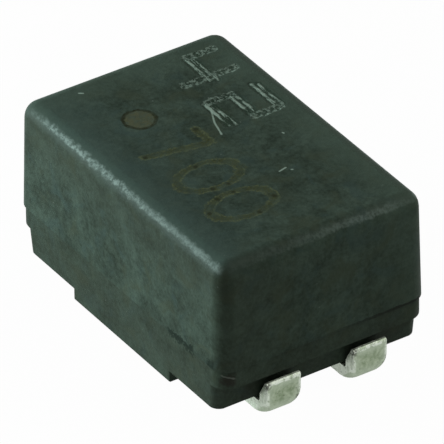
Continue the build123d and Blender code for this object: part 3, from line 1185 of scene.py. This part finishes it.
@dataclass
class Terminal:
    """One bent strip: a forked tab inside, a lead through the base, a flat foot and a turned-up tip."""

    number: int
    end: End
    side: float
    material: Material
    thickness: float = 0.35
    width: float = 0.98
    inner_radius: float = 0.1
    tab_outside: float = 3.08
    tab_top: float = 2.45
    tip_outside: float = 4.68
    tip_top: float = 1.05
    tip_round: Point2 = (0.03, 0.04)
    slope_width: float = 0.25
    slope_height: float = 0.45
    corner_radius: float = 0.25
    corner_run: float = 0.12
    fork_width: float = 0.28
    fork_depth: float = 0.42
    bend_steps: int = 18
    corner_steps: int = 10
    edge_round: float = 0.018

    def arc(self, centre: Point2, radius: float, first: float, last: float) -> list[Point2]:
        """Points of X and Z on an arc.

        Args:
            centre: Its centre.
            radius: Its radius.
            first: Its first angle in degrees.
            last: Its last angle in degrees.

        Returns:
            The points, ends included.
        """
        angles = [math.radians(first + (last - first) * step / self.bend_steps) for step in range(self.bend_steps + 1)]
        return [(centre[0] + radius * math.cos(angle), centre[1] + radius * math.sin(angle)) for angle in angles]

    def outline(self, tab_top: float) -> list[Point2]:
        """The strip's outline from the side, as points of X and Z.

        Args:
            tab_top: The height of the tab, which is lower in the fork.

        Returns:
            The points in order.
        """
        outer = self.inner_radius + self.thickness
        near, far = self.tab_outside + outer, self.tip_outside - outer
        tab_inside, tip_inside = self.tab_outside + self.thickness, self.tip_outside - self.thickness
        return [
            (self.tab_outside, tab_top),
            *self.arc((near, outer), outer, 180, 270),
            (far - self.corner_run, 0.0),
            *self.arc((far, outer), outer, 270, 360),
            (self.tip_outside, outer + self.corner_run),
            (self.tip_outside, self.tip_top - self.tip_round[1]),
            (self.tip_outside - self.tip_round[0], self.tip_top),
            (tip_inside + self.slope_width, self.tip_top),
            (tip_inside, self.tip_top - self.slope_height),
            *self.arc((far, outer), self.inner_radius, 360, 270),
            *self.arc((near, outer), self.inner_radius, 270, 180),
            (tab_inside, tab_top),
        ]

    def ribs(self) -> list[tuple[float, float]]:
        """Where the outlines stand across the strip, and how high the tab is at each.

        Returns:
            Pairs of Y and height, from -Y to +Y.
        """
        corner = self.width / 2 - self.corner_radius
        angles = [math.pi / 2 * step / self.corner_steps for step in range(self.corner_steps + 1)]
        rounded = [(corner + self.corner_radius * math.sin(angle), self.tab_top) for angle in angles]
        fork = self.fork_width / 2
        half = [(fork, self.tab_top - self.fork_depth), (fork, self.tab_top), *rounded]
        return [(-y, top) for y, top in reversed(half)] + half

    def cut(self, y: float) -> float:
        """How much of the outer bend is rounded away at a place across the strip."""
        past = max(0.0, abs(y) - self.width / 2 + self.corner_radius)
        return self.corner_radius - math.sqrt(max(0.0, self.corner_radius**2 - past**2))

    def build(self) -> Object:
        """Builds and dresses the strip.

        Returns:
            The strip.
        """
        blank = Blank(f"bent_strip_{self.number}")
        mesh = blank.mesh
        lean = math.sqrt(0.5)
        outermost = self.tip_outside * lean - (self.inner_radius + self.thickness) * (2 * lean - 1)
        verts, faces = self.first_face(mesh)
        for count, (y, tab_top) in enumerate(self.ribs()):
            if count:
                made = blank.extrude(faces)
                faces, verts = kept(made, Face), self.matching(verts, made)
            for vert, (x, z) in zip(verts, self.outline(tab_top)):
                over = max(0.0, (x - z) * lean - outermost + self.cut(y))
                vert.co = Vector((x - over * lean, y, z + over * lean))
        bmesh.ops.remove_doubles(mesh, verts=mesh.verts, dist=TOUCHING)
        bmesh.ops.dissolve_degenerate(mesh, edges=mesh.edges, dist=TOUCHING)
        blank.settle()
        blank.bevel(blank.crisp_edges(50.0), self.edge_round)
        if self.end is End.FAR:
            bmesh.ops.scale(mesh, vec=(-1.0, 1.0, 1.0), verts=mesh.verts)
            bmesh.ops.reverse_faces(mesh, faces=mesh.faces)
        bmesh.ops.translate(mesh, verts=mesh.verts, vec=(0.0, self.side, 0.0))
        return blank.piece(self.material, Slot.TINNED_STRIP, f"terminal_{self.number}")

    def first_face(self, mesh: bmesh.types.BMesh) -> tuple[list[Vert], list[Face]]:
        """Makes a face with as many vertices as the outline, which are still to be placed.

        Args:
            mesh: The mesh.

        Returns:
            The vertices and the face.
        """
        points = self.outline(self.tab_top)
        verts = [bmesh.ops.create_vert(mesh, co=(0.0, 0.0, 0.0))["vert"][0] for _ in points]
        loop = [mesh.edges.new(pair) for pair in zip(verts, verts[1:] + verts[:1])]
        return verts, bmesh.ops.contextual_create(mesh, geom=loop)["faces"]

    def matching(self, verts: Sequence[Vert], made: Sequence[object]) -> list[Vert]:
        """Finds each vertex's copy among what an extrusion made.

        Args:
            verts: The vertices before the extrusion.
            made: What the extrusion made.

        Returns:
            The copies, in the order of the vertices.
        """
        new = set(kept(made, Vert))
        beside = [[edge.other_vert(vert) for edge in vert.link_edges] for vert in verts]
        return [next(vert for vert in others if vert in new) for others in beside]


@dataclass
class HiddenParts:
    """The pieces inside the case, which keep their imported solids."""

    nodes: dict[str, Object]

    def dress(self) -> None:
        """Gives each solid its finish, by the start of its name."""
        finishes = {
            "ring_core": FERRITE,
            "winding_": ENAMEL,
            "core_bond": ADHESIVE,
            "cap_bond": ADHESIVE,
            "solder_joint_": SOLDER,
        }
        for start, finish in finishes.items():
            material = finish.material()
            for name in sorted(name for name in self.nodes if name.startswith(start)):
                for holder in self.nodes[name].material_slots:
                    holder.material = material
                LOG.info("%s: %s", name, finish.slot.value)


# Studio


@dataclass(frozen=True)
class Lamp:
    """A soft, round lamp that looks at the part, placed by its direction and its distance."""

    name: str
    towards: tuple[float, float, float]
    reach: float
    size: float
    level: float
    colour: Colour

    def build(self) -> None:
        """Adds the lamp, with a power that gives a white surface facing it the level."""
        data = bpy.data.lights.new(self.name, "AREA")
        data.shape = "DISK"
        data.size = self.size * MILLIMETRE
        data.energy = self.level * math.pi**2 * (self.reach * MILLIMETRE) ** 2
        data.color = self.colour
        aim = Vector(self.towards).normalized()
        lamp = link(self.name, data)
        lamp.location = aim * self.reach * MILLIMETRE
        lamp.rotation_euler = aim.to_track_quat("Z", "Y").to_euler()


@dataclass(frozen=True)
class Studio:
    """The pale floor, the soft lamps, the world and the camera."""

    azimuth: float = 56.7283
    elevation: float = 34.4766
    roll: float = -0.5595
    distance: float = 227.843
    focal_pixels: float = 9227.9
    picture: int = 444
    pivot: tuple[float, float, float] = (0.0, 0.0, 2.3)
    pivot_pixel: Point2 = (220.349, 229.118)
    sensor: float = 36.0
    sky: Colour = (0.97, 1.0, 0.95)
    ambient: float = 0.24
    sky_in_gloss: float = 0.3
    paper: Colour = (0.62, 0.63, 0.6)
    floor_for_camera: float = 0.98
    floor_in_gloss: float = 0.6
    floor_seen_through: float = 0.25
    floor_half: float = 400.0
    clip: Point2 = (10.0, 10000.0)
    lamps: tuple[Lamp, ...] = (
        Lamp("key", (-0.66, -0.74, 0.26), reach=64.0, size=27.0, level=1.19, colour=(0.85, 1.0, 0.985)),
        Lamp("back", (0.30, 0.50, 0.80), reach=170.0, size=60.0, level=0.24, colour=(1.0, 1.0, 0.9)),
    )

    def camera(self) -> None:
        """Sets up the camera where the photograph was taken from."""
        turn, lift, roll = (math.radians(angle) for angle in (self.azimuth, self.elevation, self.roll))
        back = Vector((math.sin(turn) * math.cos(lift), -math.cos(turn) * math.cos(lift), math.sin(lift)))
        right = Vector((math.cos(turn), math.sin(turn), 0.0))
        up = back.cross(right)
        axes = (math.cos(roll) * right + math.sin(roll) * up, math.cos(roll) * up - math.sin(roll) * right, back)
        data = bpy.data.cameras.new("camera")
        data.sensor_width = self.sensor
        data.lens = self.focal_pixels / self.picture * self.sensor
        middle = (self.picture - 1) / 2
        data.shift_x = (middle - self.pivot_pixel[0]) / self.picture
        data.shift_y = (self.pivot_pixel[1] - middle) / self.picture
        data.clip_start, data.clip_end = (reach * MILLIMETRE for reach in self.clip)
        camera = link("camera", data)
        place = (Vector(self.pivot) + back * self.distance) * MILLIMETRE
        camera.matrix_world = Matrix.Translation(place) @ Matrix(axes).transposed().to_4x4()
        bpy.context.scene.camera = camera

    def world(self) -> None:
        """A white background for the camera and an even, dimmer light for the rest."""
        world = bpy.data.worlds.new("world")
        nodes = Nodes(world)
        share = nodes.ray("Is Camera Ray") + self.sky_in_gloss * nodes.ray("Is Glossy Ray")
        seen = nodes.node("ShaderNodeBackground", {0: (1.0, 1.0, 1.0)})
        lit = nodes.node("ShaderNodeBackground", {0: self.sky, 1: self.ambient})
        mix = nodes.node("ShaderNodeMixShader", {0: share, 1: lit.outputs[0], 2: seen.outputs[0]})
        nodes.node("ShaderNodeOutputWorld", {"Surface": mix.outputs[0]})
        bpy.context.scene.world = world

    def floor(self) -> None:
        """A pale floor that looks white, keeps a faint shadow and is clear from below."""
        nodes = Nodes(bpy.data.materials.new("pale_floor"))
        share = self.floor_for_camera * nodes.ray("Is Camera Ray") + self.floor_in_gloss * nodes.ray("Is Glossy Ray")
        share = share + self.floor_seen_through * nodes.ray("Is Transmission Ray")
        paper = nodes.node("ShaderNodeBsdfDiffuse", {"Color": self.paper})
        white = nodes.node("ShaderNodeEmission", {"Color": (1.0, 1.0, 1.0), "Strength": 1.0})
        top = nodes.node("ShaderNodeMixShader", {0: share, 1: paper.outputs[0], 2: white.outputs[0]})
        clear = nodes.node("ShaderNodeBsdfTransparent")
        below = nodes.node("ShaderNodeNewGeometry").outputs["Backfacing"]
        both = nodes.node("ShaderNodeMixShader", {0: below, 1: top.outputs[0], 2: clear.outputs[0]})
        nodes.node("ShaderNodeOutputMaterial", {"Surface": both.outputs[0]})
        blank = Blank("floor")
        bmesh.ops.create_grid(blank.mesh, x_segments=1, y_segments=1, size=self.floor_half)
        made = blank.show(nodes.owner)
        made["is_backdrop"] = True

    def build(self) -> None:
        """Builds the whole studio."""
        self.camera()
        self.world()
        self.floor()
        for lamp in self.lamps:
            lamp.build()
        LOG.info("studio: camera, world, floor and %d lamps", len(self.lamps))


def corners() -> list[list[float]]:
    """The shown part's lowest and highest corner, as plain numbers."""
    return [[float(value) for value in corner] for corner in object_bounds()]


def main() -> None:
    """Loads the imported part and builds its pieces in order."""
    logging.basicConfig(level=logging.INFO, format="%(name)s %(message)s")
    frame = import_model()
    bpy.context.scene.view_settings.view_transform = "Standard"
    Studio().build()
    Cap().build()
    Base().build()
    tin = TinnedStripFinish().material(Terminal.tip_top)
    places = ((End.FAR, -HALF_PITCH), (End.NEAR, -HALF_PITCH), (End.NEAR, HALF_PITCH), (End.FAR, HALF_PITCH))
    for number, (end, side) in enumerate(places, start=1):
        Terminal(number, end, side, tin).build()
    HiddenParts(frame["nodes"]).dress()


if __name__ == "__main__":
    main()
